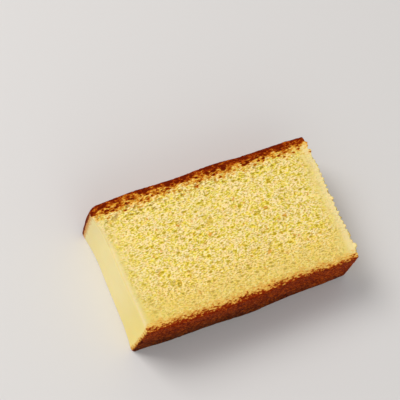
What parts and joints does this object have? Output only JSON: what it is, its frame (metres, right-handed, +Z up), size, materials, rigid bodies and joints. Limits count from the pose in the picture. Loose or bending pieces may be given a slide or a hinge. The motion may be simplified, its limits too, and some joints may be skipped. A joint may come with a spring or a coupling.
{
  "type": "castella slice",
  "caption": "Thick rectangular slice of honey sponge cake with thin browned top and bottom crusts and a fine open crumb, lying on one cut face.",
  "frame": {"origin": "middle of the footprint's box, on the surface that the slice lies on", "axes": "+X along the slice from the moulded end to the sawn end, +Y from the bottom crust to the top crust, +Z up through the thickness to the shown cut"},
  "size_m": [0.1052, 0.061, 0.0273],
  "materials": {
    "sponge": "matte open crumb, yellow, with matte red-brown crusts on the two long edges"
  },
  "bodies": {
    "root": {"castella_slice": "sponge"}
  },
  "joints": []
}
